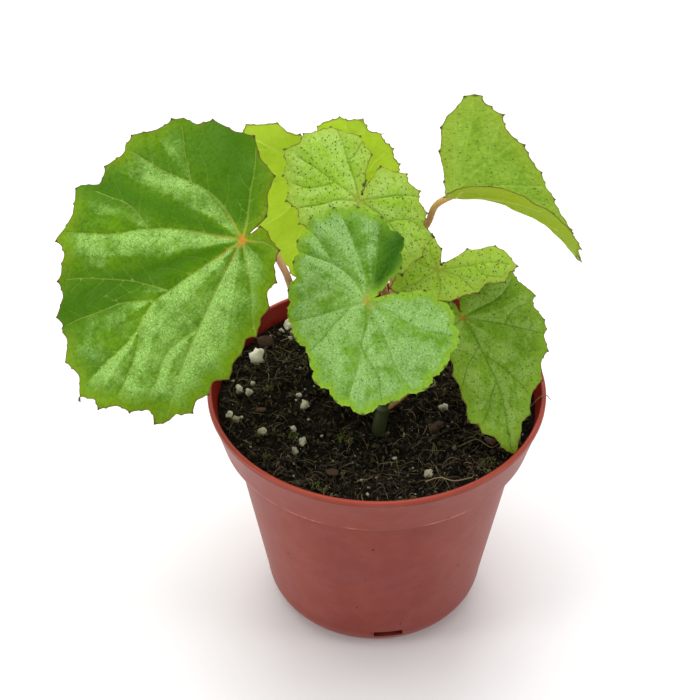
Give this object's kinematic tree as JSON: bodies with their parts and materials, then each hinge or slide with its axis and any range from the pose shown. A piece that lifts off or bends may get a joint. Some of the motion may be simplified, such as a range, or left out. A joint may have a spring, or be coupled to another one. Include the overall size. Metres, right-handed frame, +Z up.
{
  "type": "potted begonia",
  "caption": "Young begonia with lobed, toothed and spotted green leaves on pinkish stalks, growing in dark potting soil with perlite in a terracotta-coloured plastic nursery pot.",
  "frame": {"origin": "centre of the pot's base, on the surface that it stands on", "axes": "+Z up, the front of the plant faces -Y, +X to its right"},
  "size_m": [0.144, 0.1, 0.1621],
  "materials": {
    "pot_plastic": "satin",
    "soil": "matte",
    "stem": "satin",
    "petiole": "satin",
    "leaf_dark": "satin",
    "leaf_bright": "satin",
    "leaf_light": "satin",
    "leaf_young": "satin"
  },
  "bodies": {
    "root": {"pot": "pot_plastic", "potting_soil": "soil", "main_stem": "stem", "petiole_left": "petiole", "petiole_top": "petiole", "petiole_front": "petiole", "petiole_right_middle": "petiole", "petiole_right_low": "petiole", "petiole_right_arched": "petiole", "petiole_back_left": "petiole", "petiole_back_right": "petiole", "leaf_left": "leaf_dark", "leaf_front": "leaf_bright", "leaf_top": "leaf_light", "leaf_right_middle": "leaf_light", "leaf_right_low": "leaf_light", "leaf_right_arched": "leaf_light", "leaf_back_left": "leaf_young", "leaf_back_right": "leaf_young"}
  },
  "joints": []
}
